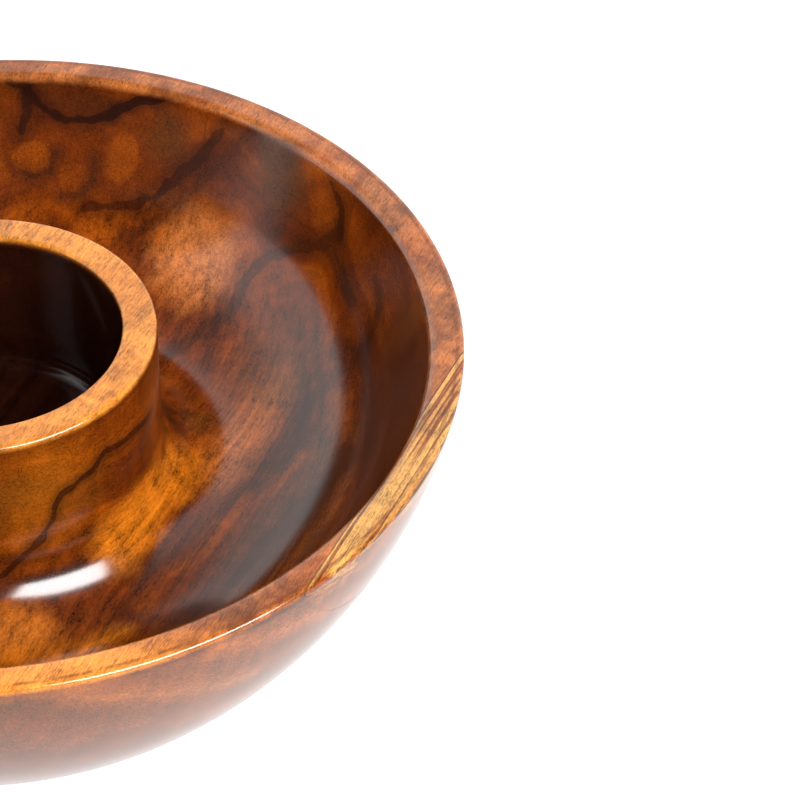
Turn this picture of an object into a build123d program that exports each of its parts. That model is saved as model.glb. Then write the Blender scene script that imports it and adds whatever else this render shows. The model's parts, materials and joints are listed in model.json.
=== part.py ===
from build123d import *
import os
from math import sqrt

# A chip and dip server: a wide bowl with a dip cup standing up in its middle. Cup, floor and
# wall are turned together from one blank, and the blank is glued up edge to edge from acacia
# boards. The boards run along X and meet on glue planes of constant Y, so each board is a
# slice of the turning. Millimetres, Z up, origin on the resting plane under the middle.

# Bowl wall. Its outside is one arc, whose centre lies above the rim.
widest_radius = 152.4
rim_height = 96.0
rim_width = 10.7
rim_inner_radius = widest_radius - rim_width
outer_arc_radius = 175.0
arc_centre_rise = 35.5
arc_centre_height = rim_height + arc_centre_rise
arc_centre_x = widest_radius - sqrt(outer_arc_radius**2 - arc_centre_rise**2)

# Dip cup
cup_top_height = 101.7
cup_outer_radius = 56.4
cup_inner_radius = 45.6
cup_depth = 52.5
cup_floor_height = cup_top_height - cup_depth

# Chip tray between cup and wall: three arcs that run on from each other, each with its radius
# and the angle it turns through, and a last long arc up to the rim
cove_top_height = 57.7
cove_radius = 16.5
cove_turn = 42.0
tray_floor_radius = 31.0
tray_floor_turn = 57.5
channel_radius = 54.7
channel_turn = 55.5

# Foot: a flat ring around a shallow turned recess
foot_ring_width = 13.0
recess_depth = 1.6
recess_slope_width = 3.0

# Softened edges
rim_outer_round = 1.6
rim_inner_round = 4.0
cup_edge_round = 1.4
cup_floor_round = 7.0
foot_round = 3.0

# Blank: boards of one width, laid off-centre, so the outermost two are only part boards
board_width = 64.1
first_glue_plane = -139.9
board_names = [
    "near_edge_board",
    "near_outer_board",
    "near_centre_board",
    "far_centre_board",
    "far_outer_board",
    "far_edge_board",
]
blank_length = 2.2 * widest_radius
blank_height = 1.2 * cup_top_height


def wall_x(height):
    """Distance from the axis of the bowl's outside at a height."""
    return arc_centre_x + sqrt(outer_arc_radius**2 - (height - arc_centre_height) ** 2)


base_radius = wall_x(0)
foot_inner_radius = base_radius - foot_ring_width
middle_height = rim_height / 2


def corner_at(sketch, x, height):
    """The section's corner at one place, in the section's own flat axes."""
    return sketch.vertices().sort_by_distance((x, height))[0]


# The whole turning, before it is divided at the glue planes
with BuildPart() as turning:
    with BuildSketch(Plane.XZ) as section:
        with BuildLine():
            ThreePointArc(
                (base_radius, 0),
                (wall_x(middle_height), middle_height),
                (widest_radius, rim_height),
            )
            Polyline(
                (base_radius, 0),
                (foot_inner_radius, 0),
                (foot_inner_radius - recess_slope_width, recess_depth),
                (0, recess_depth),
                (0, cup_floor_height),
                (cup_inner_radius, cup_floor_height),
                (cup_inner_radius, cup_top_height),
                (cup_outer_radius, cup_top_height),
                (cup_outer_radius, cove_top_height),
            )
            cove = JernArc(
                (cup_outer_radius, cove_top_height),
                (0, -1),
                cove_radius,
                cove_turn,
            )
            tray_floor = JernArc(cove @ 1, cove % 1, tray_floor_radius, tray_floor_turn)
            channel = JernArc(tray_floor @ 1, tray_floor % 1, channel_radius, channel_turn)
            TangentArc(channel @ 1, (rim_inner_radius, rim_height), tangent=channel % 1)
            Line((rim_inner_radius, rim_height), (widest_radius, rim_height))
        make_face()
        fillet(corner_at(section, widest_radius, rim_height), rim_outer_round)
        fillet(corner_at(section, rim_inner_radius, rim_height), rim_inner_round)
        fillet(corner_at(section, cup_outer_radius, cup_top_height), cup_edge_round)
        fillet(corner_at(section, cup_inner_radius, cup_top_height), cup_edge_round)
        fillet(corner_at(section, cup_inner_radius, cup_floor_height), cup_floor_round)
        fillet(corner_at(section, base_radius, 0), foot_round)
    revolve(axis=Axis.Z)


def make_board(name, low_plane, high_plane):
    """One board of the blank: what the turning leaves of it between two glue planes."""
    with BuildPart() as board:
        add(turning.part)
        with Locations((0, (low_plane + high_plane) / 2, 0)):
            Box(
                blank_length,
                high_plane - low_plane,
                blank_height,
                align=(Align.CENTER, Align.CENTER, Align.MIN),
                mode=Mode.INTERSECT,
            )
    board.part.label = name
    export_step(board.part, f"parts/{name}.step")


os.makedirs("parts", exist_ok=True)
for number, name in enumerate(board_names):
    high_plane = first_glue_plane + number * board_width
    make_board(name, high_plane - board_width, high_plane)
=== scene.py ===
"""Chip and dip server: an acacia bowl with its dip cup, turned in one piece from glued boards."""

import json
import logging
import math
from dataclasses import dataclass, field
from enum import Enum
from typing import Any, Iterable, Mapping, Sequence, Union

import bpy
from mathutils import Euler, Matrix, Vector


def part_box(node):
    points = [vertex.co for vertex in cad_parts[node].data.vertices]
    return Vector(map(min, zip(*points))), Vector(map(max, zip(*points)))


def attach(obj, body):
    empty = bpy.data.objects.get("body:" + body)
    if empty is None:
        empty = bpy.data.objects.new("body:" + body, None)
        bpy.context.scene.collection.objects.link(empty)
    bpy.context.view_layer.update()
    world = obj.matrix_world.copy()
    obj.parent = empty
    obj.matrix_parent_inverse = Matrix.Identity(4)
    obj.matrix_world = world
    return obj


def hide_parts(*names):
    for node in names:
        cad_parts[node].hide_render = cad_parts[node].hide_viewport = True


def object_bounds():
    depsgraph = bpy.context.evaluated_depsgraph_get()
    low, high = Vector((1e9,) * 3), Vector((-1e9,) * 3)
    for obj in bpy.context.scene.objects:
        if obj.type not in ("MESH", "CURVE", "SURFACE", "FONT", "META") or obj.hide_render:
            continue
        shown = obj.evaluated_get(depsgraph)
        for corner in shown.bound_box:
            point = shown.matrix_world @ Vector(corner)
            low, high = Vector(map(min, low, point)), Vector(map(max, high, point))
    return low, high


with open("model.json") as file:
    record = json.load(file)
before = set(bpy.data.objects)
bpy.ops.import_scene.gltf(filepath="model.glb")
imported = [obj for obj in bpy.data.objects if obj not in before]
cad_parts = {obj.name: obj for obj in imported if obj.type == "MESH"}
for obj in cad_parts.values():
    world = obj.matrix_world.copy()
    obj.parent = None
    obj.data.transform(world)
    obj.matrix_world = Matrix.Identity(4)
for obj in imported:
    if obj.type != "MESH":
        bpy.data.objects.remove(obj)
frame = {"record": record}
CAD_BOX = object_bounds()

log = logging.getLogger("chip_and_dip_server")

MM = 0.001
CM_IN_M = 100.0
BODY = "root"
WHITE = (1.0, 1.0, 1.0)
BLACK = (0.0, 0.0, 0.0)

# A distance, in centimetres, that no point of the bowl has from a vein
FAR_AWAY = 100.0
# How far, in centimetres, a vein of the outside lies below the surface
VEIN_SINK = 0.05
# An area lamp's power for each square metre and each unit of its radiance
LAMP_POWER = 4.0
# Sockets of the Mix node when it mixes colours
MIX_FACTOR, MIX_FIRST, MIX_SECOND, MIX_RESULT = 0, 6, 7, 2

Point = tuple[float, float]
Triple = tuple[float, float, float]
Number = Union["Signal", float]


# ---------------------------------------------------------------------------
# Node graphs
# ---------------------------------------------------------------------------


class Signal:
    """A number on a wire: arithmetic on it adds Math nodes to its graph."""

    def __init__(self, graph: "Graph", socket: bpy.types.NodeSocket) -> None:
        """Wraps one output socket.

        Args:
            graph: The graph that the socket is in.
            socket: The output that carries the number.
        """
        self.graph = graph
        self.socket = socket

    def __add__(self, other: Number) -> "Signal":
        """self + other."""
        return self.graph.math("ADD", self, other)

    __radd__ = __add__

    def __sub__(self, other: Number) -> "Signal":
        """self - other."""
        return self.graph.math("SUBTRACT", self, other)

    def __rsub__(self, other: Number) -> "Signal":
        """other - self."""
        return self.graph.math("SUBTRACT", other, self)

    def __mul__(self, other: Number) -> "Signal":
        """self * other."""
        return self.graph.math("MULTIPLY", self, other)

    __rmul__ = __mul__

    def __truediv__(self, other: Number) -> "Signal":
        """self / other."""
        return self.graph.math("DIVIDE", self, other)

    def __rtruediv__(self, other: Number) -> "Signal":
        """other / self."""
        return self.graph.math("DIVIDE", other, self)

    def __abs__(self) -> "Signal":
        """The size of the number, whatever its sign."""
        return self.graph.math("ABSOLUTE", self)


class Graph:
    """A node tree, shader or geometry, with one way to add a node."""

    def __init__(self, tree: bpy.types.NodeTree) -> None:
        """Wraps a tree.

        Args:
            tree: The tree that the nodes go into.
        """
        self.tree = tree

    def node(
        self,
        kind: str,
        settings: Mapping[str, Any] | None = None,
        sockets: Mapping[Union[str, int], Any] | None = None,
    ) -> bpy.types.Node:
        """Adds one node.

        Args:
            kind: The node's type name.
            settings: The node's own properties, set before its sockets; "stops" fills a ramp.
            sockets: A value, a Signal or a socket for each input, by name or number.

        Returns:
            The new node.
        """
        made = self.tree.nodes.new(kind)
        for name, value in (settings or {}).items():
            if name == "stops":
                self._fill_ramp(made.color_ramp, value)
            else:
                setattr(made, name, value)
        for key, value in (sockets or {}).items():
            self._feed(made.inputs[key], value)
        return made

    @staticmethod
    def _fill_ramp(ramp: bpy.types.ColorRamp, stops: Sequence[tuple[float, Enum]]) -> None:
        """Gives a ramp its colours.

        Args:
            ramp: The ramp, as new, with its two stops.
            stops: A place from 0 to 1 and a tone for each stop, in order.
        """
        while len(ramp.elements) < len(stops):
            ramp.elements.new(1.0)
        for element, (place, colour) in zip(ramp.elements, stops):
            element.position = place
            element.color = (*colour.value, 1.0)

    def _feed(self, socket: bpy.types.NodeSocket, value: Any) -> None:
        """Sets an input to a value, or links it.

        Args:
            socket: The input.
            value: A Signal, an output socket, a named tone or a plain value.
        """
        if isinstance(value, Enum):
            value = value.value
        if isinstance(value, Signal):
            value = value.socket
        if isinstance(value, bpy.types.NodeSocket):
            self.tree.links.new(value, socket)
        elif isinstance(value, tuple) and socket.type == "RGBA":
            socket.default_value = (*value, 1.0)
        else:
            socket.default_value = value

    def math(self, operation: str, *values: Number, clamp: bool = False) -> Signal:
        """A Math node.

        Args:
            operation: The node's operation.
            values: Its inputs in order.
            clamp: Whether the result is held between 0 and 1.

        Returns:
            The result.
        """
        settings = {"operation": operation, "use_clamp": clamp}
        made = self.node("ShaderNodeMath", settings, dict(enumerate(values)))
        return Signal(self, made.outputs[0])

    def smooth(self, value: Number, low: float, high: float) -> Signal:
        """A soft step.

        Args:
            value: What is measured.
            low: Where the result is 0.
            high: Where the result is 1; it may be the smaller of the two.

        Returns:
            0 to 1, eased at both ends.
        """
        settings = {"interpolation_type": "SMOOTHSTEP", "clamp": True}
        span = {"Value": value, "From Min": low, "From Max": high}
        made = self.node("ShaderNodeMapRange", settings, span)
        return Signal(self, made.outputs["Result"])

    def vector(self, operation: str, *values: Any) -> bpy.types.NodeSocket:
        """A Vector Math node.

        Args:
            operation: The node's operation.
            values: Its inputs in order.

        Returns:
            The vector that comes out.
        """
        made = self.node("ShaderNodeVectorMath", {"operation": operation}, dict(enumerate(values)))
        return made.outputs["Vector"]

    def measure(self, operation: str, *values: Any) -> Signal:
        """A Vector Math node that gives a number, such as DISTANCE.

        Args:
            operation: The node's operation.
            values: Its inputs in order.

        Returns:
            The number that comes out.
        """
        made = self.node("ShaderNodeVectorMath", {"operation": operation}, dict(enumerate(values)))
        return Signal(self, made.outputs["Value"])

    def scaled(self, vector: Any, amount: Number) -> bpy.types.NodeSocket:
        """A vector times one number."""
        settings = {"operation": "SCALE"}
        made = self.node("ShaderNodeVectorMath", settings, {"Vector": vector, "Scale": amount})
        return made.outputs["Vector"]

    def drift(self, vector: Any, stretch: Triple, detail: float, reach: Triple) -> bpy.types.NodeSocket:
        """Moves a place by smooth noise.

        Args:
            vector: The place.
            stretch: How fine the noise is along each axis.
            detail: How many finer layers the noise has.
            reach: How far the place may move each way along each axis.

        Returns:
            The moved place.
        """
        sockets = {"Vector": self.vector("MULTIPLY", vector, stretch), "Scale": 1.0, "Detail": detail}
        cloud = self.node("ShaderNodeTexNoise", None, sockets).outputs["Color"]
        span = tuple(2.0 * r for r in reach)
        shift = self.vector("MULTIPLY", self.vector("SUBTRACT", cloud, (0.5, 0.5, 0.5)), span)
        return self.vector("ADD", vector, shift)

    def combine(self, x: Number, y: Number, z: Number) -> bpy.types.NodeSocket:
        """A vector from three numbers."""
        return self.node("ShaderNodeCombineXYZ", None, {"X": x, "Y": y, "Z": z}).outputs[0]

    def split(self, vector: bpy.types.NodeSocket) -> tuple[Signal, Signal, Signal]:
        """The three numbers of a vector."""
        made = self.node("ShaderNodeSeparateXYZ", None, {0: vector})
        return tuple(Signal(self, out) for out in made.outputs)

    def noise(self, vector: bpy.types.NodeSocket, scale: float, detail: float = 2.0,
              roughness: float = 0.5) -> Signal:
        """Perlin noise in three dimensions.

        Args:
            vector: Where it is read.
            scale: How fine it is, per unit of the vector.
            detail: How many finer layers it has.
            roughness: How strong they are.

        Returns:
            The noise, about 0 to 1.
        """
        sockets = {"Vector": vector, "Scale": scale, "Detail": detail, "Roughness": roughness}
        return Signal(self, self.node("ShaderNodeTexNoise", None, sockets).outputs[0])

    def stretched(self, vector: Any, stretch: Triple, detail: float, roughness: float = 0.5) -> Signal:
        """Perlin noise that is finer along some axes than along others.

        Args:
            vector: Where it is read.
            stretch: How fine it is along each axis.
            detail: How many finer layers it has.
            roughness: How strong they are.

        Returns:
            The noise, about 0 to 1.
        """
        return self.noise(self.vector("MULTIPLY", vector, stretch), 1.0, detail, roughness)

    def line_noise(self, along: Signal, scale: float, detail: float = 2.0,
                   roughness: float = 0.5) -> Signal:
        """Perlin noise along one number.

        Args:
            along: Where it is read.
            scale: How fine it is.
            detail: How many finer layers it has.
            roughness: How strong they are.

        Returns:
            The noise, about 0 to 1.
        """
        sockets = {"W": along, "Scale": scale, "Detail": detail, "Roughness": roughness}
        made = self.node("ShaderNodeTexNoise", {"noise_dimensions": "1D"}, sockets)
        return Signal(self, made.outputs[0])

    def ramp(self, factor: Signal, stops: Sequence[tuple[float, Enum]]) -> bpy.types.NodeSocket:
        """A colour ramp.

        Args:
            factor: Where on the ramp.
            stops: Places and tones.

        Returns:
            The colour.
        """
        settings = {"stops": stops}
        return self.node("ShaderNodeValToRGB", settings, {"Fac": factor}).outputs["Color"]

    def mix(self, factor: Number, first: Any, second: Any, blend: str = "MIX") -> bpy.types.NodeSocket:
        """Two colours mixed.

        Args:
            factor: How much of the second.
            first: A colour, a tone or a socket.
            second: A colour, a tone or a socket.
            blend: The blend type.

        Returns:
            The mixed colour.
        """
        settings = {"data_type": "RGBA", "blend_type": blend, "clamp_factor": True}
        sockets = {MIX_FACTOR: factor, MIX_FIRST: first, MIX_SECOND: second}
        return self.node("ShaderNodeMix", settings, sockets).outputs[MIX_RESULT]

    def surface(self, sockets: Mapping[str, Any]) -> None:
        """Adds the material's shader and its output.

        Args:
            sockets: A value, a Signal or a socket for each of the shader's inputs.
        """
        shader = self.node("ShaderNodeBsdfPrincipled", None, sockets)
        self.node("ShaderNodeOutputMaterial", None, {"Surface": shader.outputs[0]})


def new_material(name: str) -> tuple[bpy.types.Material, Graph]:
    """A material and its empty graph."""
    made = bpy.data.materials.new(name)
    made.use_nodes = True
    made.node_tree.nodes.clear()
    return made, Graph(made.node_tree)


def placed(name: str, data: Any) -> bpy.types.Object:
    """A new object in the scene, at the origin.

    Args:
        name: Its name.
        data: Its mesh, lamp or camera.

    Returns:
        The object.
    """
    made = bpy.data.objects.new(name, data)
    bpy.context.scene.collection.objects.link(made)
    return made


# ---------------------------------------------------------------------------
# Shape
# ---------------------------------------------------------------------------


@dataclass
class TurnedSection:
    """Half the bowl's section, from the middle of the underside round to the middle of the cup.

    Its sizes are those of the CAD model, in metres.
    """

    widest_radius: float = 152.4 * MM
    rim_height: float = 96.0 * MM
    rim_width: float = 10.7 * MM
    outer_arc_radius: float = 175.0 * MM
    arc_centre_rise: float = 35.5 * MM
    cup_top_height: float = 101.7 * MM
    cup_outer_radius: float = 56.4 * MM
    cup_inner_radius: float = 45.6 * MM
    cup_depth: float = 52.5 * MM
    cove_top_height: float = 57.7 * MM
    tray_arcs: tuple[Point, ...] = ((16.5 * MM, 42.0), (31.0 * MM, 57.5), (54.7 * MM, 55.5))
    foot_ring_width: float = 13.0 * MM
    recess_depth: float = 1.6 * MM
    recess_slope_width: float = 3.0 * MM
    rim_outer_round: float = 1.6 * MM
    rim_inner_round: float = 4.0 * MM
    cup_edge_round: float = 1.4 * MM
    cup_floor_round: float = 7.0 * MM
    foot_round: float = 3.0 * MM
    step: float = 2.2 * MM
    round_steps: int = 8

    def wall_x(self, height: float) -> float:
        """Distance from the axis of the bowl's outside.

        Args:
            height: Height above the resting plane.

        Returns:
            The distance.
        """
        centre_x, centre_height, radius = self.outer_arc()
        return centre_x + math.sqrt(radius**2 - (height - centre_height) ** 2)

    def outer_arc(self) -> Triple:
        """The outside's arc: its centre's distance from the axis and height, and its radius."""
        back = math.sqrt(self.outer_arc_radius**2 - self.arc_centre_rise**2)
        return self.widest_radius - back, self.rim_height + self.arc_centre_rise, self.outer_arc_radius

    def outer_wall(self) -> list[Point]:
        """Points up the bowl's outside, both ends among them."""
        count = round(self.rim_height / self.step)
        heights = [self.rim_height * i / count for i in range(count + 1)]
        return [(self.wall_x(h), h) for h in heights]

    def bend(self, start: Point, heading: float, radius: float, turn: float) -> list[Point]:
        """Points along an arc that sets off in a direction and turns to the left.

        Args:
            start: Its first point.
            heading: Its first direction, in radians from straight outwards.
            radius: Its radius.
            turn: The angle it turns through, in radians.

        Returns:
            The points after the first.
        """
        count = max(2, round(radius * turn / self.step))
        centre = (start[0] - radius * math.sin(heading), start[1] + radius * math.cos(heading))
        angles = [heading + turn * i / count for i in range(1, count + 1)]
        return [(centre[0] + radius * math.sin(a), centre[1] - radius * math.cos(a)) for a in angles]

    def tray(self) -> list[Point]:
        """Points from the cup's straight side through the chip tray to the rim's inner corner."""
        heading = -math.pi / 2
        made = [(self.cup_outer_radius, self.cove_top_height)]
        for radius, turn_deg in self.tray_arcs:
            made += self.bend(made[-1], heading, radius, math.radians(turn_deg))
            heading += math.radians(turn_deg)
        run = self.widest_radius - self.rim_width - made[-1][0]
        rise = self.rim_height - made[-1][1]
        turn = 2 * (math.atan2(rise, run) - heading)
        return made + self.bend(made[-1], heading, math.hypot(run, rise) / 2 / math.sin(turn / 2), turn)

    def rounded(self, before: Point, corner: Point, after: Point, radius: float) -> list[Point]:
        """A corner softened by an arc that touches both of its sides.

        Args:
            before: A point on the side that comes in.
            corner: The sharp corner.
            after: A point on the side that goes out.
            radius: The arc's radius.

        Returns:
            The arc's points.
        """
        tip = Vector(corner)
        one = (Vector(before) - tip).normalized()
        two = (Vector(after) - tip).normalized()
        half = one.angle(two) / 2
        centre = tip + (one + two).normalized() * radius / math.sin(half)
        start = tip + one * radius / math.tan(half) - centre
        turn = start.angle_signed(tip + two * radius / math.tan(half) - centre)
        made = []
        for i in range(self.round_steps + 1):
            angle = -turn * i / self.round_steps
            x = start.x * math.cos(angle) - start.y * math.sin(angle)
            z = start.x * math.sin(angle) + start.y * math.cos(angle)
            made.append((centre.x + x, centre.y + z))
        return made

    def line(self, start: Point, end: Point) -> list[Point]:
        """Points along a straight stretch, its two ends left out.

        Args:
            start: One end.
            end: The other end.

        Returns:
            The points between.
        """
        count = max(1, round(math.dist(start, end) / self.step))
        return [tuple(Vector(start).lerp(Vector(end), i / count)) for i in range(1, count)]

    def points(self) -> list[Point]:
        """The whole half section as (distance from the axis, height), from underside to cup floor."""
        foot = (self.wall_x(0), 0.0)
        foot_inner = foot[0] - self.foot_ring_width
        recess_edge = (foot_inner - self.recess_slope_width, self.recess_depth)
        rim_out = (self.widest_radius, self.rim_height)
        rim_in = (self.widest_radius - self.rim_width, self.rim_height)
        cup_out = (self.cup_outer_radius, self.cup_top_height)
        cup_in = (self.cup_inner_radius, self.cup_top_height)
        cup_floor = self.cup_top_height - self.cup_depth
        cup_low = (self.cup_inner_radius, cup_floor)
        outer_wall = self.outer_wall()
        tray = self.tray()[::-1]
        foot_arc = self.rounded((0, 0), foot, outer_wall[2], self.foot_round)
        rim_out_arc = self.rounded(outer_wall[-2], rim_out, rim_in, self.rim_outer_round)
        rim_in_arc = self.rounded(rim_out, rim_in, tray[1], self.rim_inner_round)
        cup_out_arc = self.rounded((cup_out[0], 0), cup_out, cup_in, self.cup_edge_round)
        cup_in_arc = self.rounded(cup_out, cup_in, cup_low, self.cup_edge_round)
        cup_low_arc = self.rounded(cup_in, cup_low, (0, cup_floor), self.cup_floor_round)
        made = [(0.0, self.recess_depth)]
        made += self.line(made[0], recess_edge)
        made += [recess_edge, (foot_inner, 0.0)]
        made += foot_arc
        made += [p for p in outer_wall if foot_arc[-1][1] + MM < p[1] < rim_out_arc[0][1] - MM]
        made += rim_out_arc + self.line(rim_out_arc[-1], rim_in_arc[0]) + rim_in_arc
        made += [p for p in tray if p[1] < rim_in_arc[-1][1] - MM]
        made += self.line(tray[-1], cup_out_arc[0]) + cup_out_arc
        made += self.line(cup_out_arc[-1], cup_in_arc[0]) + cup_in_arc
        made += self.line(cup_in_arc[-1], cup_low_arc[0]) + cup_low_arc
        made += self.line(cup_low_arc[-1], (0, cup_floor)) + [(0.0, cup_floor)]
        return made


@dataclass
class BoardCutter:
    """The Geometry Nodes tree that turns the section and keeps one board of the turning."""

    segments: int = 576
    weld: float = 0.00002
    crease_deg: float = 28.0
    name: str = "turned_board"

    def tree(self) -> bpy.types.NodeTree:
        """Builds the tree.

        Returns:
            A tree with the section's rows, the sizes of the cut and the material as inputs.
        """
        tree = bpy.data.node_groups.new(self.name, "GeometryNodeTree")
        face = tree.interface
        face.new_socket("Geometry", in_out="INPUT", socket_type="NodeSocketGeometry")
        for label, kind in (
            ("Rows", "NodeSocketInt"),
            ("Segments", "NodeSocketInt"),
            ("Low Glue Plane", "NodeSocketFloat"),
            ("High Glue Plane", "NodeSocketFloat"),
            ("Blank Length", "NodeSocketFloat"),
            ("Weld Distance", "NodeSocketFloat"),
            ("Crease Angle", "NodeSocketFloat"),
            ("Finish", "NodeSocketMaterial"),
        ):
            face.new_socket(label, in_out="INPUT", socket_type=kind)
        face.new_socket("Geometry", in_out="OUTPUT", socket_type="NodeSocketGeometry")
        graph = Graph(tree)
        given = graph.node("NodeGroupInput").outputs
        turning = self._revolve(graph, given)
        board = self._cut(graph, given, turning)
        smooth = graph.node("GeometryNodeSetShadeSmooth", {"domain": "FACE"}, {"Geometry": board})
        edge = Signal(graph, graph.node("GeometryNodeInputMeshEdgeAngle").outputs["Unsigned Angle"])
        sharp = graph.math("GREATER_THAN", edge, Signal(graph, given["Crease Angle"]))
        creased = graph.node(
            "GeometryNodeSetShadeSmooth", {"domain": "EDGE"},
            {"Geometry": smooth.outputs[0], "Selection": sharp, "Shade Smooth": False},
        )
        real = graph.node("GeometryNodeRealizeInstances", None, {0: creased.outputs[0]})
        dressed = graph.node(
            "GeometryNodeSetMaterial", None, {"Geometry": real.outputs[0], "Material": given["Finish"]}
        )
        graph.node("NodeGroupOutput", None, {0: dressed.outputs[0]})
        return tree

    @staticmethod
    def _revolve(graph: Graph, given: Any) -> bpy.types.NodeSocket:
        """Turns the section's points about the axis.

        Args:
            graph: The tree's graph.
            given: The group's inputs.

        Returns:
            The closed turning.
        """
        columns = graph.math("ADD", Signal(graph, given["Segments"]), 1.0)
        grid = graph.node(
            "GeometryNodeMeshGrid", None, {"Vertices X": columns, "Vertices Y": given["Rows"]}
        )
        index = Signal(graph, graph.node("GeometryNodeInputIndex").outputs[0])
        rows = Signal(graph, given["Rows"])
        column = graph.math("FLOOR", (index + 0.5) / rows)
        row = index - column * rows
        place = graph.node("GeometryNodeInputPosition").outputs[0]
        sampled = graph.node(
            "GeometryNodeSampleIndex", {"data_type": "FLOAT_VECTOR", "domain": "POINT"},
            {"Geometry": given["Geometry"], "Value": place, "Index": row},
        )
        radius, _, height = graph.split(sampled.outputs[0])
        angle = column / Signal(graph, given["Segments"]) * math.tau
        turned = graph.combine(
            radius * graph.math("COSINE", angle), radius * graph.math("SINE", angle), height
        )
        placed = graph.node(
            "GeometryNodeSetPosition", None, {"Geometry": grid.outputs["Mesh"], "Position": turned}
        )
        welded = graph.node(
            "GeometryNodeMergeByDistance", None,
            {"Geometry": placed.outputs[0], "Distance": given["Weld Distance"]},
        )
        return welded.outputs[0]

    @staticmethod
    def _cut(graph: Graph, given: Any, turning: bpy.types.NodeSocket) -> bpy.types.NodeSocket:
        """Keeps what lies between the two glue planes.

        Args:
            graph: The tree's graph.
            given: The group's inputs.
            turning: The closed turning.

        Returns:
            One board of it.
        """
        low = Signal(graph, given["Low Glue Plane"])
        high = Signal(graph, given["High Glue Plane"])
        length = Signal(graph, given["Blank Length"])
        slab = graph.node(
            "GeometryNodeMeshCube", None, {"Size": graph.combine(length, high - low, length)}
        )
        moved = graph.node(
            "GeometryNodeTransform", None,
            {"Geometry": slab.outputs["Mesh"], "Translation": graph.combine(0.0, (low + high) / 2, 0.0)},
        )
        cut = graph.node("GeometryNodeMeshBoolean", {"operation": "INTERSECT", "solver": "EXACT"})
        graph.tree.links.new(turning, cut.inputs["Mesh 2"])
        graph.tree.links.new(moved.outputs[0], cut.inputs["Mesh 2"])
        return cut.outputs["Mesh"]


# ---------------------------------------------------------------------------
# Finish
# ---------------------------------------------------------------------------


class Wood(Enum):
    """The record's material slots."""

    HEARTWOOD = "acacia_heartwood"
    SAPWOOD = "acacia_sapwood"


class Tone(Enum):
    """Colours that the wood shows under its lacquer."""

    UMBER = (0.010, 0.0022, 0.0012)
    WALNUT = (0.034, 0.0072, 0.0018)
    OLIVE = (0.056, 0.018, 0.003)
    RUSSET = (0.078, 0.013, 0.001)
    SIENNA = (0.120, 0.0215, 0.001)
    AMBER = (0.190, 0.0375, 0.0018)
    GOLD = (0.370, 0.100, 0.0055)
    ROSE = (0.300, 0.090, 0.020)
    HONEY = (0.540, 0.190, 0.024)
    STRAW = (0.340, 0.168, 0.042)


@dataclass(frozen=True)
class Vein:
    """A vein of one tone that runs through the wood. Places and sizes are in centimetres."""

    points: tuple[Triple, ...]
    radius: float
    tone: Tone
    strength: float
    unevenness: float = 1.3
    halo_share: float = 0.6

    def reaches(self, low: float, high: float) -> bool:
        """Whether the vein comes near the slice of wood between two values of Y."""
        across = [p[1] for p in self.points]
        return min(across) - self.radius < high and max(across) + self.radius > low

    def cover(self, graph: Graph, place: Any, uneven: Signal) -> Signal:
        """How much of the vein shows at a place: a firm core inside a soft halo.

        Args:
            graph: The material's graph.
            place: The place, in centimetres.
            uneven: Slow noise that widens and narrows the vein, about 0 to 1.

        Returns:
            0 to the vein's strength.
        """
        nearest: Number = FAR_AWAY
        for start, end in zip(self.points, self.points[1:]):
            run = Vector(end) - Vector(start)
            off = graph.vector("SUBTRACT", place, start)
            along = graph.measure("DOT_PRODUCT", off, tuple(run / run.length_squared))
            foot = graph.scaled(tuple(run), graph.math("MULTIPLY", along, 1.0, clamp=True))
            nearest = graph.math("MINIMUM", nearest, graph.measure("DISTANCE", off, foot))
        nearest = nearest + (uneven - 0.5) * (self.unevenness * self.radius)
        core = graph.smooth(nearest, 1.15 * self.radius, 0.45 * self.radius) * self.strength
        halo = graph.smooth(nearest, 2.8 * self.radius, 0.4 * self.radius) * (self.halo_share * self.strength)
        return graph.math("MAXIMUM", core, halo)


@dataclass(frozen=True)
class Patch:
    """A soft egg-shaped body of one tone in the wood. Places and sizes are in centimetres."""

    centre: Triple
    radii: Triple
    tone: Tone
    strength: float
    edge: float = 0.45
    unevenness: float = 0.5

    def reaches(self, low: float, high: float) -> bool:
        """Whether the patch comes into the slice of wood between two values of Y."""
        return self.centre[1] - self.radii[1] < high and self.centre[1] + self.radii[1] > low

    def cover(self, graph: Graph, place: Any, uneven: Signal) -> Signal:
        """How much of the patch shows at a place.

        Args:
            graph: The material's graph.
            place: The place, in centimetres.
            uneven: Slow noise that swells and shrinks the patch, about 0 to 1.

        Returns:
            0 to the patch's strength.
        """
        off = graph.vector("DIVIDE", graph.vector("SUBTRACT", place, self.centre), self.radii)
        out = graph.measure("LENGTH", off) + (uneven - 0.5) * self.unevenness
        return graph.smooth(out, 1.0 + self.edge / 2, 1.0 - self.edge) * self.strength


def under_outside(*stops: Point) -> tuple[Triple, ...]:
    """Places just under the bowl's outside, for a vein that shows there.

    Args:
        stops: A bearing in degrees and a height in centimetres for each place.

    Returns:
        The places, in centimetres.
    """
    section = TurnedSection()
    made = []
    for bearing_deg, height in stops:
        out = CM_IN_M * section.wall_x(height / CM_IN_M) - VEIN_SINK
        bearing = math.radians(bearing_deg)
        made.append((out * math.cos(bearing), out * math.sin(bearing), height))
    return tuple(made)


Mark = Union[Vein, Patch]

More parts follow.
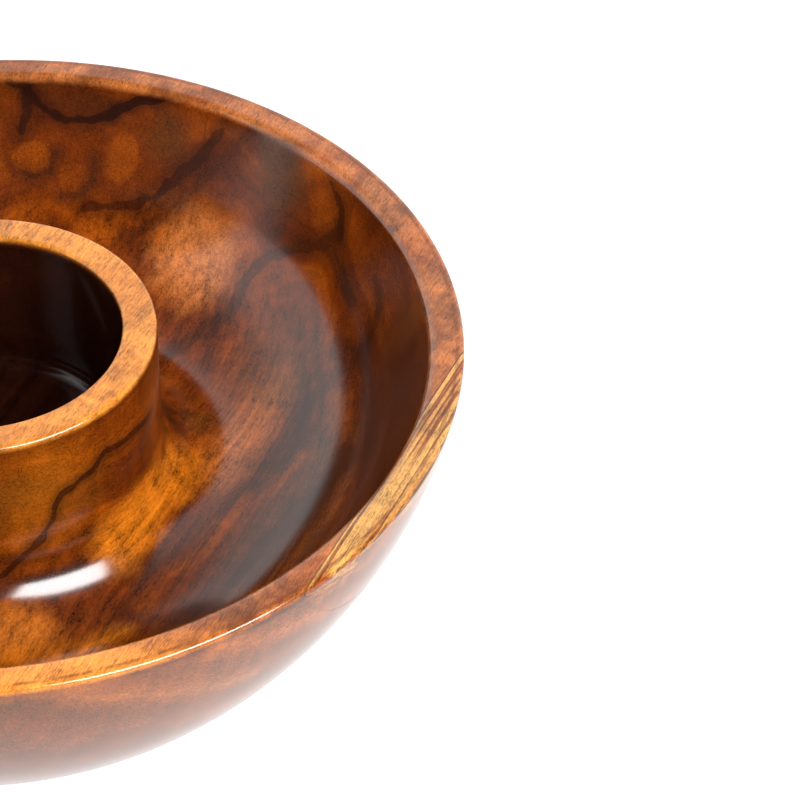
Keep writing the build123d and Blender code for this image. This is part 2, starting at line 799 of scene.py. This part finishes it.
FAR_WALL: tuple[Mark, ...] = (
    Patch((12.8, 3.0, 7.4), (2.6, 5.0, 2.5), Tone.RUSSET, 0.85, 0.4),
    Patch((13.4, 3.4, 9.1), (1.4, 2.2, 0.7), Tone.WALNUT, 0.7, 0.5),
    Patch((13.9, 2.0, 9.4), (1.0, 1.2, 0.4), Tone.SIENNA, 0.5),
    Patch((12.2, 4.7, 7.0), (1.2, 0.7, 0.6), Tone.AMBER, 0.55, 0.2),
    Patch((12.4, 3.2, 6.4), (1.2, 0.55, 0.5), Tone.SIENNA, 0.8, 0.3),
    Patch((13.0, 1.7, 7.2), (1.2, 0.65, 0.9), Tone.AMBER, 0.5, 0.25),
    Patch((13.4, 0.2, 8.2), (1.2, 0.9, 1.1), Tone.OLIVE, 0.6, 0.7),
    Patch((13.0, -4.4, 8.4), (1.6, 1.3, 1.3), Tone.OLIVE, 0.9, 0.6),
    Patch((12.0, -6.5, 8.3), (1.0, 0.8, 0.9), Tone.AMBER, 0.8, 0.4),
    Patch((9.2, -8.9, 6.4), (0.9, 0.6, 0.7), Tone.SIENNA, 0.75, 0.5),
    Patch((5.2, -12.3, 7.2), (6.6, 3.2, 2.8), Tone.WALNUT, 0.85, 0.6),
    Vein(((12.9, 5.9, 9.5), (13.0, 5.2, 9.2), (12.7, 5.1, 8.3), (12.4, 5.3, 7.8)),
         0.28, Tone.UMBER, 0.85),
    Vein(((13.0, 5.2, 9.1), (12.9, 4.5, 8.5), (13.1, 3.7, 8.2), (13.3, 2.9, 8.3), (13.7, 2.0, 8.8),
          (14.0, 1.3, 9.2), (14.1, 0.6, 9.4)), 0.22, Tone.UMBER, 0.95),
    Vein(((11.9, 5.4, 6.7), (11.9, 4.7, 6.3), (12.2, 4.1, 6.5), (12.5, 3.9, 7.2)),
         0.18, Tone.WALNUT, 0.85),
    Vein(((12.7, 2.6, 7.1), (12.5, 2.5, 6.4), (12.2, 2.9, 5.9), (12.0, 3.5, 5.8)),
         0.2, Tone.WALNUT, 0.8),
    Vein(((14.3, -2.0, 9.6), (13.8, -1.7, 8.8), (13.3, -0.8, 7.6), (12.7, 0.3, 6.3), (12.3, 1.3, 5.8),
          (11.9, 2.6, 5.6)), 0.26, Tone.UMBER, 0.8),
    Vein(((14.0, -3.1, 9.6), (13.6, -2.4, 8.6), (13.1, -1.3, 7.2), (12.4, -0.4, 5.9), (11.7, 1.0, 5.1)),
         0.34, Tone.WALNUT, 0.8),
)

TRAY_FLOOR: tuple[Mark, ...] = (
    Patch((11.4, -1.8, 5.2), (1.9, 1.7, 1.8), Tone.ROSE, 0.85, 0.6),
    Patch((9.6, -5.8, 4.4), (2.4, 1.6, 1.6), Tone.RUSSET, 0.7, 0.6),
    Patch((5.6, -6.6, 3.8), (3.4, 1.1, 1.2), Tone.ROSE, 0.5, 0.7),
    Patch((8.3, -6.2, 4.2), (2.2, 2.2, 1.6), Tone.OLIVE, 0.45, 0.7),
    Patch((2.4, -9.8, 4.2), (5.4, 2.4, 1.6), Tone.OLIVE, 0.6, 0.6),
    Vein(((11.3, -7.2, 8.1), (11.5, -6.3, 7.2), (11.7, -4.6, 6.1), (11.2, -3.9, 5.3), (10.2, -3.6, 4.4),
          (9.3, -2.8, 3.9), (8.2, -2.4, 3.7)), 0.34, Tone.WALNUT, 0.9),
    Vein(((12.3, -6.4, 9.2), (11.9, -7.2, 8.7), (11.3, -7.3, 8.0)), 0.22, Tone.UMBER, 0.8),
    Vein(((9.8, -9.2, 7.9), (9.1, -9.6, 7.6), (8.7, -9.7, 6.9), (8.3, -9.4, 6.0)),
         0.24, Tone.UMBER, 0.6),
    Vein(((8.2, -8.9, 5.3), (7.5, -8.2, 4.6), (6.0, -7.9, 4.0), (3.7, -8.0, 3.7)),
         0.5, Tone.WALNUT, 0.75),
    Vein(((5.0, -7.9, 3.9), (2.3, -7.3, 3.7), (-2.0, -6.8, 3.9), (-5.0, -6.4, 3.8)),
         0.3, Tone.WALNUT, 0.7),
    Vein(((4.9, -8.8, 4.0), (3.3, -8.4, 3.7), (1.3, -7.8, 3.7), (-0.9, -7.5, 3.7), (-3.0, -7.0, 3.7)),
         0.2, Tone.AMBER, 0.5),
    Vein(((4.5, -10.6, 4.7), (1.7, -9.6, 3.9), (-0.8, -8.8, 3.7), (-4.0, -8.3, 3.8)),
         0.7, Tone.WALNUT, 0.75),
)

NEAR_SIDE: tuple[Mark, ...] = (
    Patch((-12.0, -8.8, 9.6), (4.6, 2.6, 0.7), Tone.GOLD, 0.6, 0.7),
    Patch((-9.5, -9.5, 4.5), (4.0, 4.0, 2.6), Tone.WALNUT, 0.5, 0.8),
    Vein(under_outside((214, 8.9), (224, 7.8), (236, 6.6), (246, 5.2)), 0.5, Tone.WALNUT, 0.6),
    Vein(under_outside((226, 9.2), (236, 8.3), (248, 7.3), (262, 5.8)), 0.4, Tone.WALNUT, 0.75),
    Vein(under_outside((243, 9.1), (252, 8.4), (266, 7.8), (280, 6.6)), 0.45, Tone.WALNUT, 0.7),
    Vein(under_outside((258, 9.0), (272, 8.6), (288, 7.6)), 0.35, Tone.RUSSET, 0.7),
    Vein(under_outside((210, 7.2), (220, 6.0), (232, 4.4)), 0.55, Tone.RUSSET, 0.7),
    Vein(under_outside((219, 8.9), (230, 7.6), (242, 6.2)), 0.3, Tone.GOLD, 0.5),
    Vein(under_outside((236, 9.1), (247, 8.1), (258, 7.0)), 0.3, Tone.GOLD, 0.45),
    Patch((-8.6, -6.6, 4.6), (2.6, 1.6, 1.4), Tone.RUSSET, 0.6, 0.6),
    Vein(((-9.6, -4.6, 4.6), (-7.2, -6.6, 4.0), (-4.6, -8.2, 3.9), (-2.4, -9.2, 4.1)),
         0.3, Tone.WALNUT, 0.7),
    Vein(((-8.9, -3.6, 4.3), (-6.6, -5.5, 3.8), (-4.2, -7.0, 3.7)), 0.25, Tone.GOLD, 0.7),
)

CUP_AND_COVE: tuple[Mark, ...] = (
    Patch((-4.0, -4.2, 8.0), (2.6, 1.8, 2.4), Tone.GOLD, 0.38, 0.8),
    Patch((0.4, -5.6, 7.0), (2.6, 0.8, 0.8), Tone.RUSSET, 0.75, 0.6),
    Patch((-1.2, -6.0, 5.2), (3.2, 1.1, 1.1), Tone.GOLD, 0.72, 0.5),
    Patch((2.6, -5.9, 4.8), (2.2, 1.0, 0.9), Tone.GOLD, 0.6, 0.6),
    Patch((5.2, -4.9, 3.9), (0.9, 0.7, 0.8), Tone.OLIVE, 0.65, 0.7),
    Patch((-6.0, -4.3, 3.9), (1.3, 1.3, 0.9), Tone.GOLD, 0.6, 0.7),
    Vein(((0.7, -5.6, 8.1), (-0.6, -5.6, 8.3), (-1.8, -5.4, 8.5), (-2.3, -5.2, 8.1), (-3.3, -4.6, 7.7),
          (-3.5, -4.4, 6.8), (-4.1, -3.9, 5.9), (-4.8, -3.2, 5.1)), 0.2, Tone.UMBER, 0.85),
)


@dataclass(frozen=True)
class Grain:
    """How fine acacia's grain is per centimetre: along the boards, then across them twice."""

    swirl: Triple = (0.10, 0.22, 0.22)
    swirl_reach: Triple = (0.0, 2.6, 2.6)
    cloud: Triple = (0.16, 0.42, 0.42)
    ripple: Triple = (2.0, 0.6, 0.6)
    streak: Triple = (0.13, 3.4, 3.4)
    coarse_fibre: Triple = (0.9, 10.0, 10.0)
    fine_fibre: Triple = (7.0, 27.0, 27.0)
    pore: Triple = (2.4, 34.0, 34.0)
    sap_band: Triple = (0.10, 2.2, 2.2)
    sap_line: Triple = (0.10, 8.0, 8.0)
    ring_width: float = 1.1
    taper: float = 0.05


@dataclass(frozen=True)
class Wander:
    """How the drawn veins stray from their straight runs, in centimetres."""

    slow: Triple = (0.4, 0.7, 0.7)
    slow_reach: Triple = (0.15, 0.26, 0.14)
    quick: Triple = (0.9, 2.2, 2.2)
    quick_reach: Triple = (0.05, 0.09, 0.05)
    swelling: Triple = (0.8, 1.7, 1.7)


@dataclass(frozen=True)
class Lacquer:
    """The clear coat, and how much of the wood's relief it lets through."""

    coat_roughness: float = 0.15
    coat_ior: float = 1.5
    wood_roughness: float = 0.34
    wood_roughness_spread: float = 0.14
    relief_strength: float = 0.22
    relief_depth: float = 0.12 * MM


class Spot:
    """A point of the wood, with its distances from the bowl's main edges in centimetres."""

    def __init__(self, graph: Graph, section: TurnedSection, slide: float) -> None:
        """Reads the point's place from the object.

        Args:
            graph: The material's graph.
            section: The bowl's section.
            slide: How far along the tree the board's own stretch begins, in centimetres.
        """
        coordinates = graph.node("ShaderNodeTexCoord").outputs["Object"]
        self.place = graph.vector("MULTIPLY", coordinates, (CM_IN_M, CM_IN_M, CM_IN_M))
        self.grown = graph.vector("ADD", self.place, (slide, 0.0, 0.0))
        self.x, self.y, self.z = graph.split(self.place)
        self.out = graph.math("SQRT", self.x * self.x + self.y * self.y)
        self.above_rim = self.z - CM_IN_M * section.rim_height
        self.past_rim = self.out - CM_IN_M * section.widest_radius
        self.past_wall = self.past_rim + CM_IN_M * section.rim_width
        self.above_cup = self.z - CM_IN_M * section.cup_top_height
        self.past_cup = self.out - CM_IN_M * section.cup_inner_radius
        self.above_cup_floor = self.above_cup + CM_IN_M * section.cup_depth
        centre_out, centre_height, arc_radius = (CM_IN_M * size for size in section.outer_arc())
        aside = self.out - centre_out
        down = self.z - centre_height
        self.under_outside = arc_radius - graph.math("SQRT", aside * aside + down * down)


@dataclass(frozen=True)
class LacqueredAcacia:
    """Clear gloss lacquer over acacia: one board with its own heart and growth rings.

    The heart and the slide along the tree are in centimetres, the board's two edges in metres.
    """

    name: str
    heart: Point
    slide: float
    edges: Point
    section: TurnedSection
    sapwood: bool = False
    grain: Grain = Grain()
    wander: Wander = Wander()
    lacquer: Lacquer = Lacquer()
    figure: tuple[Mark, ...] = FAR_WALL + TRAY_FLOOR + NEAR_SIDE + CUP_AND_COVE

    def material(self) -> bpy.types.Material:
        """Builds the material.

        Returns:
            The finished material.
        """
        made, graph = new_material(self.name)
        spot = Spot(graph, self.section, self.slide)
        fibre = self._fibre(graph, spot)
        pores = self._pores(graph, spot)
        base = self._ground(graph, spot)
        base = self._drawn(graph, spot, base)
        base = self._by_place(graph, spot, base)
        base = self._grained(graph, spot, base, fibre, pores)
        base = self._glue_lines_and_edge_reflection(graph, spot, base)
        gloss = graph.noise(spot.place, 1.4, 3.0) * self.lacquer.wood_roughness_spread
        relief = fibre * 0.25 - pores * 0.5 + self._turning_marks(graph, spot)
        bump = graph.node(
            "ShaderNodeBump", None,
            {"Strength": self.lacquer.relief_strength, "Distance": self.lacquer.relief_depth,
             "Height": relief},
        )
        graph.surface({
            "Base Color": base,
            "Roughness": gloss + self.lacquer.wood_roughness,
            "Specular IOR Level": 0.0,
            "Coat Weight": 1.0,
            "Coat Roughness": self.lacquer.coat_roughness,
            "Coat IOR": self.lacquer.coat_ior,
            "Normal": bump.outputs["Normal"],
        })
        return made

    def _rings(self, graph: Graph, spot: Spot) -> Signal:
        """Counts growth rings outwards from the board's heart.

        Args:
            graph: The material's graph.
            spot: The point of the wood.

        Returns:
            How many rings out it lies.
        """
        swirled = graph.drift(spot.grown, self.grain.swirl, 2.0, self.grain.swirl_reach)
        x, y, z = graph.split(swirled)
        across = y - self.heart[0]
        up = z - self.heart[1] + x * self.grain.taper
        return graph.math("SQRT", across * across + up * up) / self.grain.ring_width

    def _ground(self, graph: Graph, spot: Spot) -> Any:
        """The board's general figure: bands of tone that follow the rings, and fine contour lines.

        Args:
            graph: The material's graph.
            spot: The point of the wood.

        Returns:
            Its colour.
        """
        rings = self._rings(graph, spot)
        band = graph.line_noise(rings, 0.75, 2.5, 0.62)
        cloud = graph.stretched(spot.grown, self.grain.cloud, 2.0)
        colour = graph.ramp(
            band * 0.5 + cloud * 0.45 + 0.04,
            [(0.26, Tone.UMBER), (0.36, Tone.WALNUT), (0.46, Tone.RUSSET),
             (0.56, Tone.SIENNA), (0.68, Tone.AMBER), (0.84, Tone.GOLD)],
        )
        edge = graph.math("PINGPONG", graph.line_noise(rings, 0.42, 1.0) * 5.0, 0.5)
        line = graph.smooth(edge, 0.05, 0.0) * graph.smooth(cloud, 0.42, 0.58)
        colour = graph.mix(line * 0.35, colour, Tone.UMBER)
        return self._topped_with_sapwood(graph, spot, colour) if self.sapwood else colour

    def _topped_with_sapwood(self, graph: Graph, spot: Spot, colour: Any) -> Any:
        """Pale straight-grained sapwood over the top of the board.

        Args:
            graph: The material's graph.
            spot: The point of the wood.
            colour: The heartwood's colour below it.

        Returns:
            The board's colour.
        """
        band = graph.stretched(spot.grown, self.grain.sap_band, 1.0)
        line = graph.stretched(spot.grown, self.grain.sap_line, 1.0)
        pale = graph.mix(graph.smooth(band, 0.36, 0.52), Tone.AMBER, Tone.STRAW)
        pale = graph.mix(graph.smooth(line, 0.50, 0.58) * 0.8, pale, Tone.RUSSET)
        return graph.mix(graph.smooth(spot.above_rim + band, -1.0, 0.0), colour, pale)

    def _drawn(self, graph: Graph, spot: Spot, base: Any) -> Any:
        """Lays the veins and patches that cross this board over its general figure.

        Args:
            graph: The material's graph.
            spot: The point of the wood.
            base: The general figure's colour.

        Returns:
            The colour with them.
        """
        strayed = graph.drift(spot.place, self.wander.slow, 1.0, self.wander.slow_reach)
        strayed = graph.drift(strayed, self.wander.quick, 1.0, self.wander.quick_reach)
        uneven = graph.stretched(spot.place, self.wander.swelling, 1.0)
        low, high = (CM_IN_M * edge for edge in self.edges)
        for mark in self.figure:
            if mark.reaches(low, high):
                base = graph.mix(mark.cover(graph, strayed, uneven), base, mark.tone)
        return base

    def _by_place(self, graph: Graph, spot: Spot, base: Any) -> Any:
        """Paints light onto the rim tops, mixes the outside towards rose and paints shade into the cup.

        Args:
            graph: The material's graph.
            spot: The point of the wood.
            base: The figure's colour.

        Returns:
            The colour with all of these.
        """
        skin = graph.smooth(spot.under_outside, 0.5, 0.1) * graph.smooth(spot.above_rim, -0.1, -0.6)
        base = graph.mix(skin * 0.32, base, Tone.ROSE)
        # Painted light: the top of the outer rim, its near part most, and the top of the cup's rim are
        # lightened towards rose and honey where light falls on them from above.
        mottle = graph.smooth(graph.noise(spot.place, 1.1, 2.0), 0.35, 0.62)
        outer_rim = graph.smooth(spot.above_rim, -0.3, -0.1) * graph.smooth(spot.past_wall, -0.27, 0.03)
        painted_rim_light = 0.0 if self.sapwood else outer_rim * (mottle * 0.5 + 0.25)
        base = graph.mix(painted_rim_light, base, Tone.ROSE)
        base = graph.mix(outer_rim * graph.smooth(spot.x, -8.0, -11.5) * 0.65, base, Tone.HONEY)
        cup_rim = graph.smooth(spot.above_cup, -0.27, -0.07) * graph.smooth(spot.past_cup, -0.06, 0.04)
        base = graph.mix(cup_rim * (mottle * 0.3 + 0.45), base, Tone.HONEY)
        # Painted shade: the cup's inside, walls and floor, is darkened almost to umber.
        painted_cup_shade = graph.smooth(spot.past_cup, 0.16, 0.04) * graph.smooth(spot.above_cup, -0.02, -0.37)
        painted_cup_shade = painted_cup_shade * graph.smooth(spot.above_cup_floor, -0.92, -0.52)
        return graph.mix(painted_cup_shade * 0.96, base, Tone.UMBER)

    def _fibre(self, graph: Graph, spot: Spot) -> Signal:
        """Fine fibres along the grain, about 0 to 1."""
        coarse = graph.stretched(spot.grown, self.grain.coarse_fibre, 2.0, 0.6)
        fine = graph.stretched(spot.grown, self.grain.fine_fibre, 1.0)
        return coarse * 0.4 + fine * 0.6

    def _pores(self, graph: Graph, spot: Spot) -> Signal:
        """Short open pores along the grain: 1 in a pore and 0 beside it."""
        return graph.smooth(graph.stretched(spot.grown, self.grain.pore, 0.0), 0.66, 0.76)

    def _grained(self, graph: Graph, spot: Spot, base: Any, fibre: Signal, pores: Signal) -> Any:
        """Puts fibres, ripple, streaks and pores into the colour.

        Args:
            graph: The material's graph.
            spot: The point of the wood.
            base: The figure's colour.
            fibre: The fibres.
            pores: The pores.

        Returns:
            The grained colour.
        """
        ripple = graph.stretched(spot.grown, self.grain.ripple, 1.0)
        streak = graph.stretched(spot.grown, self.grain.streak, 2.0, 0.6)
        tray_floor = graph.smooth(spot.out, 13.2, 11.5) * graph.smooth(spot.z, 7.0, 5.0)
        light = (fibre - 0.5) * 2.4 + (ripple - 0.5) * 0.8 + (streak - 0.5) * (tray_floor * 1.4 + 0.4) + 0.98
        grey = graph.node("ShaderNodeCombineColor", None, {0: light, 1: light, 2: light}).outputs[0]
        grained = graph.mix(1.0, base, grey, "MULTIPLY")
        return graph.mix(pores * 0.55, grained, Tone.UMBER)

    def _glue_lines_and_edge_reflection(self, graph: Graph, spot: Spot, base: Any) -> Any:
        """Darkens the glue lines, and paints a dark reflection line just inside the rim's outer edge.

        Args:
            graph: The material's graph.
            spot: The point of the wood.
            base: The grained colour.

        Returns:
            The finished colour.
        """
        dark = graph.smooth(spot.above_rim, -0.4, -0.1) * 0.65 + 0.1 if self.sapwood else 0.2
        for edge in self.edges:
            gap = abs(spot.y - CM_IN_M * edge)
            base = graph.mix(graph.smooth(gap, 0.05, 0.02) * dark, base, Tone.UMBER)
        # Painted reflection: a broken dark line on the rim top, just inside its outer edge, stands in for
        # dark surroundings mirrored there.
        reflection_breakup = graph.smooth(graph.noise(spot.place, 1.8, 3.0), 0.3, 0.6)
        band = graph.smooth(abs(spot.past_rim + 0.26), 0.09, 0.03)
        band = band * graph.smooth(spot.above_rim, -0.2, -0.05)
        return graph.mix(band * reflection_breakup * 0.6, base, Tone.RUSSET)

    @staticmethod
    def _turning_marks(graph: Graph, spot: Spot) -> Signal:
        """Very faint rings left by the turning tool and the sanding."""
        return graph.line_noise(spot.out + spot.z * 0.7, 9.0, 2.0) * 0.2


# ---------------------------------------------------------------------------
# Sub-assemblies
# ---------------------------------------------------------------------------


@dataclass
class Board:
    """One board of the turned blank."""

    node: str
    wood: Wood
    finish: LacqueredAcacia
    margin: float = 20.0 * MM
    same_place: float = 0.5 * MM

    def build(self, section: Sequence[Point], cutter: BoardCutter,
              tree: bpy.types.NodeTree) -> bpy.types.Object:
        """Makes the board's mesh, hides the CAD part it stands for and hangs the mesh under the body.

        Args:
            section: The half section's points.
            cutter: The sizes of the turning.
            tree: The tree that turns and cuts.

        Returns:
            The finished piece.
        """
        low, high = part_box(self.node)
        lowest, highest = CAD_BOX
        low_plane = low.y if low.y > lowest.y + self.same_place else low.y - self.margin
        high_plane = high.y if high.y < highest.y - self.same_place else high.y + self.margin
        outline = bpy.data.meshes.new(self.node + "_section")
        outline.from_pydata(
            [(r, 0.0, z) for r, z in section], [(i, i + 1) for i in range(len(section) - 1)], []
        )
        maker = placed(self.node + "_maker", outline)
        values = {
            "Rows": len(section),
            "Segments": cutter.segments,
            "Low Glue Plane": low_plane,
            "High Glue Plane": high_plane,
            "Blank Length": 3.0 * (highest.x - lowest.x),
            "Weld Distance": cutter.weld,
            "Crease Angle": math.radians(cutter.crease_deg),
            "Finish": self.finish.material(),
        }
        modifier = maker.modifiers.new("turning", "NODES")
        modifier.node_group = tree
        for item in tree.interface.items_tree:
            if item.in_out == "INPUT" and item.name in values:
                modifier[item.identifier] = values[item.name]
        evaluated = maker.evaluated_get(bpy.context.evaluated_depsgraph_get())
        mesh = bpy.data.meshes.new_from_object(evaluated)
        mesh.name = "turned_" + self.node
        maker.modifiers.remove(modifier)
        bpy.data.objects.remove(maker)
        piece = placed(mesh.name, mesh)
        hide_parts(self.node)
        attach(piece, BODY)
        return piece


@dataclass
class TurnedBlank:
    """The bowl: boards glued edge to edge and turned together.

    Each board comes from a stretch of the tree a little further on, by the slide in centimetres.
    """

    section: TurnedSection = field(default_factory=TurnedSection)
    cutter: BoardCutter = field(default_factory=BoardCutter)
    slide: float = 0.1

    def boards(self) -> list[Board]:
        """The six boards with the figure that each one shows."""
        woods = {s["node"]: Wood(s["material_slot"]) for s in frame["record"]["subparts"]}
        hearts = {
            "near_edge_board": (-20.0, 2.0),
            "near_outer_board": (-2.0, -13.0),
            "near_centre_board": (-2.0, -13.2),
            "far_centre_board": (-2.0, -13.4),
            "far_outer_board": (-1.8, -13.6),
            "far_edge_board": (-1.6, -13.8),
        }
        made = []
        for number, (node, heart) in enumerate(hearts.items()):
            low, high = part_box(node)
            finish = LacqueredAcacia(
                name="lacquered_" + node,
                heart=heart,
                slide=self.slide * number,
                edges=(low.y, high.y),
                section=self.section,
                sapwood=woods[node] is Wood.SAPWOOD,
            )
            made.append(Board(node, woods[node], finish))
        return made

    def build(self) -> Iterable[bpy.types.Object]:
        """Makes every board in order, near edge first."""
        tree = self.cutter.tree()
        points = self.section.points()
        for board in self.boards():
            yield board.build(points, self.cutter, tree)


@dataclass
class ViewCamera:
    """The camera, placed from the bowl's axis in bowl radii."""

    bearing_deg: float = 212.4
    reach: float = 5.764
    rise: float = 4.819
    heading_deg: float = 23.74
    pitch_down_deg: float = 41.1
    lens_mm: float = 163.9
    sensor_mm: float = 36.0

    def build(self, radius: float, rim_height: float) -> bpy.types.Object:
        """Adds the camera and makes it the scene's own.

        Args:
            radius: The bowl's radius.
            rim_height: Height of the bowl's rim.

        Returns:
            The camera.
        """
        data = bpy.data.cameras.new("camera")
        data.lens = self.lens_mm
        data.sensor_width = self.sensor_mm
        made = placed("camera", data)
        bearing = math.radians(self.bearing_deg)
        made.location = (
            self.reach * radius * math.cos(bearing),
            self.reach * radius * math.sin(bearing),
            rim_height + self.rise * radius,
        )
        tilt = math.radians(90 - self.pitch_down_deg)
        turn = math.radians(self.heading_deg - 90)
        made.rotation_euler = Euler((tilt, 0.0, turn))
        bpy.context.scene.camera = made
        return made


@dataclass(frozen=True)
class Softbox:
    """A flat lamp that faces the bowl. Its angles are seen from the bowl."""

    name: str
    azimuth_deg: float
    elevation_deg: float
    width_deg: float
    height_deg: float
    radiance: float
    distance: float = 2.2
    seen_in_gloss: bool = True

    def build(self) -> bpy.types.Object:
        """Adds the lamp.

        Returns:
            The lamp.
        """
        data = bpy.data.lights.new(self.name, "AREA")
        data.shape = "RECTANGLE"
        data.size = 2 * self.distance * math.tan(math.radians(self.width_deg / 2))
        data.size_y = 2 * self.distance * math.tan(math.radians(self.height_deg / 2))
        data.energy = LAMP_POWER * data.size * data.size_y * self.radiance
        made = placed(self.name, data)
        azimuth = math.radians(self.azimuth_deg)
        elevation = math.radians(self.elevation_deg)
        towards = Vector((
            math.cos(azimuth) * math.cos(elevation),
            math.sin(azimuth) * math.cos(elevation),
            math.sin(elevation),
        ))
        made.visible_glossy = self.seen_in_gloss
        made.location = towards * self.distance
        made.rotation_euler = towards.to_track_quat("Z", "Y").to_euler()
        return made


@dataclass
class Studio:
    """A pale lit floor, a lit white dome round the far side and one lamp on the near side."""

    floor_size: float = 12.0
    floor_glow: float = 0.82
    floor_grey: float = 0.22
    floor_roughness: float = 0.6
    surround: float = 0.01
    dome_radius: float = 3.0
    dome_start_deg: float = -51.0
    dome_end_deg: float = 134.0
    dome_top_deg: float = 64.0
    dome_columns: int = 48
    dome_rows: int = 24
    dome_low_glow: float = 1.85
    dome_high_glow: float = 0.1
    dome_fade: Point = (0.64, 0.90)
    dome_bright_deg: float = 118.0
    dome_front_share: float = 0.72
    dome_side: Point = (0.0, 0.8)

    def lamps(self) -> list[Softbox]:
        """The key lamp beside the camera, and a soft one overhead that the lacquer doesn't mirror."""
        return [
            Softbox(
                "key", azimuth_deg=-112.0, elevation_deg=38.5,
                width_deg=40.0, height_deg=24.0, radiance=20.0,
            ),
            Softbox(
                "overhead_fill", azimuth_deg=0.0, elevation_deg=90.0,
                width_deg=50.0, height_deg=50.0, radiance=2.8, seen_in_gloss=False,
            ),
        ]

    def build(self) -> None:
        """Adds the floor, the surround, the dome and the lamps."""
        self.floor()
        self.dim_surround()
        self.dome()
        for lamp in self.lamps():
            lamp.build()

    def floor(self) -> None:
        """Adds the pale floor, lit a little from within so that it stays white."""
        half = self.floor_size / 2
        mesh = bpy.data.meshes.new("floor")
        corners = [(-half, -half, 0), (half, -half, 0), (half, half, 0), (-half, half, 0)]
        mesh.from_pydata(corners, [], [(0, 1, 2, 3)])
        made, graph = new_material("pale_floor")
        graph.surface({
            "Base Color": (self.floor_grey,) * 3,
            "Roughness": self.floor_roughness,
            "Emission Color": WHITE,
            "Emission Strength": self.floor_glow,
        })
        mesh.materials.append(made)
        placed("floor", mesh)

    def dim_surround(self) -> None:
        """Leaves everything beyond the dome nearly dark."""
        world = bpy.data.worlds.new("surround")
        bpy.context.scene.world = world
        world.use_nodes = True
        background = world.node_tree.nodes["Background"]
        background.inputs["Color"].default_value = (*WHITE, 1.0)
        background.inputs["Strength"].default_value = self.surround

    def dome(self) -> None:
        """Adds the lit dome, brightest near the floor and towards one side."""
        sweep = self.dome_end_deg - self.dome_start_deg
        corners = []
        for row in range(self.dome_rows + 1):
            rise = math.radians(self.dome_top_deg * row / self.dome_rows)
            out = self.dome_radius * math.cos(rise)
            height = self.dome_radius * math.sin(rise)
            for column in range(self.dome_columns + 1):
                turn = math.radians(self.dome_start_deg + sweep * column / self.dome_columns)
                corners.append((out * math.cos(turn), out * math.sin(turn), height))
        faces = []
        for row in range(self.dome_rows):
            for column in range(self.dome_columns):
                first = row * (self.dome_columns + 1) + column
                above = first + self.dome_columns + 1
                faces.append((first, above, above + 1, first + 1))
        mesh = bpy.data.meshes.new("dome")
        mesh.from_pydata(corners, [], faces)
        made, graph = new_material("lit_dome")
        x, y, z = graph.split(graph.node("ShaderNodeTexCoord").outputs["Object"])
        bright_side = math.radians(self.dome_bright_deg)
        aside = (x * math.cos(bright_side) + y * math.sin(bright_side)) / self.dome_radius
        glow = graph.mix(graph.smooth(aside, *self.dome_side), (self.dome_front_share,) * 3, WHITE)
        climb = graph.smooth(z / self.dome_radius, *self.dome_fade)
        glow = graph.mix(climb, glow, (self.dome_high_glow / self.dome_low_glow,) * 3)
        graph.surface({
            "Base Color": BLACK, "Emission Color": glow, "Emission Strength": self.dome_low_glow,
        })
        mesh.materials.append(made)
        placed("dome", mesh)


def main() -> None:
    """Builds the studio and the bowl, and reports each piece."""
    logging.basicConfig(level=logging.INFO, format="%(message)s")
    bpy.context.scene.view_settings.view_transform = "Standard"
    lowest, highest = CAD_BOX
    blank = TurnedBlank()
    ViewCamera().build((highest.x - lowest.x) / 2, blank.section.rim_height)
    Studio().build()
    for piece in blank.build():
        log.info("%s: %d faces", piece.name, len(piece.data.polygons))


if __name__ == "__main__":
    main()
